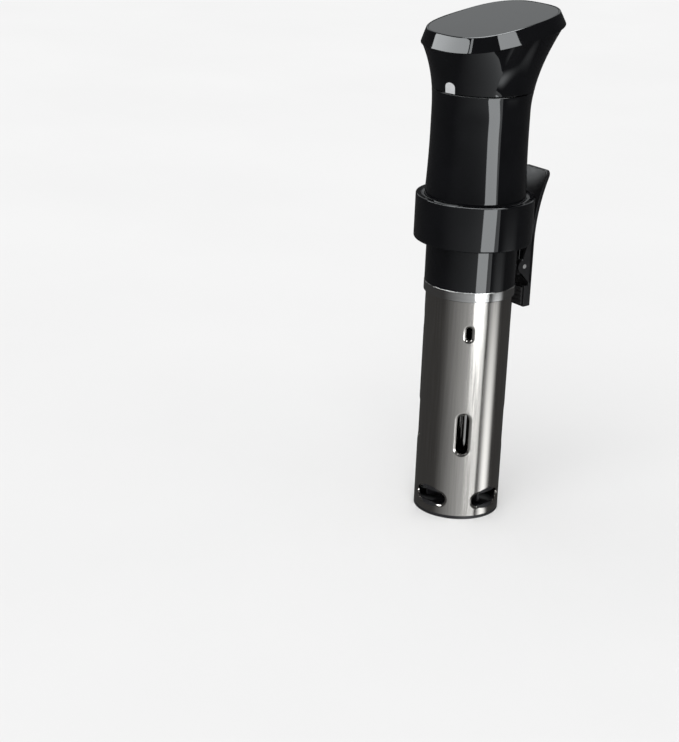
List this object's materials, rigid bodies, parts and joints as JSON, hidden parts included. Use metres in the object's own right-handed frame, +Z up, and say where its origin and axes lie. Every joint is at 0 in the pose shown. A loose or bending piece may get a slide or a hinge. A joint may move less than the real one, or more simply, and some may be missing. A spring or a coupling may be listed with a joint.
{
  "type": "sous vide circulator",
  "caption": "Stick-shaped immersion circulator: black column with a slanted touch-panel head, clamp collar with a spring lever, and a slotted steel skirt.",
  "frame": {"origin": "middle of the foot, on the column's axis", "axes": "+Z up along the column, -Y the front where the head is lowest, +Y the back where the clamp lever is"},
  "size_m": [0.079, 0.0957, 0.3445],
  "materials": {
    "gloss_black": "high gloss, moulded",
    "panel_black": "gloss black glass panel, opaque",
    "lever_black": "satin, fine grain",
    "cap_black": "satin, moulded",
    "lens_grey": "translucent pale window",
    "dark_rubber": "matt",
    "skirt_steel": "polished, faint lengthwise brushing",
    "polished_steel": "polished",
    "zinc_steel": "bright zinc",
    "motor_steel": "plated sheet",
    "light_alloy": "extruded",
    "bearing_brass": "sintered bush",
    "frame_nylon": "natural nylon",
    "board_green": "solder mask",
    "part_black": "moulded",
    "terminal_ceramic": "glazed"
  },
  "bodies": {
    "casing": {"buzzer": "part_black", "capacitors": "part_black", "column_shell": "gloss_black", "control_board": "board_green", "cord_gland": "lever_black", "display_module": "part_black", "flange_gasket": "dark_rubber", "flange_screws": "zinc_steel", "frame_screws": "zinc_steel", "head_shell": "gloss_black", "heat_sink": "light_alloy", "heater_coil": "polished_steel", "heater_flange": "polished_steel", "heater_leads": "dark_rubber", "heater_terminals": "terminal_ceramic", "indicator_lens": "lens_grey", "inner_frame": "frame_nylon", "level_sensors": "polished_steel", "motor_can": "motor_steel", "motor_end_cap": "frame_nylon", "motor_mount": "cap_black", "motor_screws": "zinc_steel", "motor_stator": "motor_steel", "panel_gasket": "dark_rubber", "power_board": "board_green", "relay": "frame_nylon", "rim_bezel": "gloss_black", "seal_housing": "cap_black", "shaft_seal": "dark_rubber", "skirt_seal": "dark_rubber", "sleeve_front": "gloss_black", "sleeve_rear": "gloss_black", "sleeve_seal": "dark_rubber", "temp_probe": "polished_steel", "touch_board": "board_green", "touch_panel": "panel_black", "trim_ring": "polished_steel"},
    "skirt_body": {"skirt": "skirt_steel", "end_cap": "cap_black", "lower_bearing": "bearing_brass"},
    "collar": {"clamp_collar": "gloss_black", "collar_liner": "dark_rubber", "hinge_pin": "polished_steel", "wall_stop_pad": "dark_rubber"},
    "lever": {"clamp_lever": "lever_black", "jaw_pad": "dark_rubber", "lever_spring": "zinc_steel"},
    "rotor": {"impeller": "cap_black", "drive_shaft": "polished_steel", "motor_shaft": "polished_steel", "shaft_coupling": "light_alloy", "set_screws": "zinc_steel", "motor_rotor": "motor_steel", "cooling_fan": "cap_black"}
  },
  "joints": [
    {"name": "lever_hinge", "type": "hinge", "parent": "collar", "child": "lever", "pos_m": [0, 0.037, 0.17], "axis": [1, 0, 0], "range_deg": [0, 9], "stiffness_Nm_per_rad": 0.8, "springref_deg": -28.65},
    {"name": "collar_slide", "type": "slide", "parent": "casing", "child": "collar", "axis": [0, 0, 1], "range_m": [-0.015, 0]},
    {"name": "skirt_slide", "type": "slide", "parent": "casing", "child": "skirt_body", "axis": [0, 0, -1], "range_m": [0, 0.14]},
    {"name": "rotor_spin", "type": "hinge", "parent": "casing", "child": "rotor", "pos_m": [0, 0, 0.09], "axis": [0, 0, 1], "continuous": true}
  ]
}
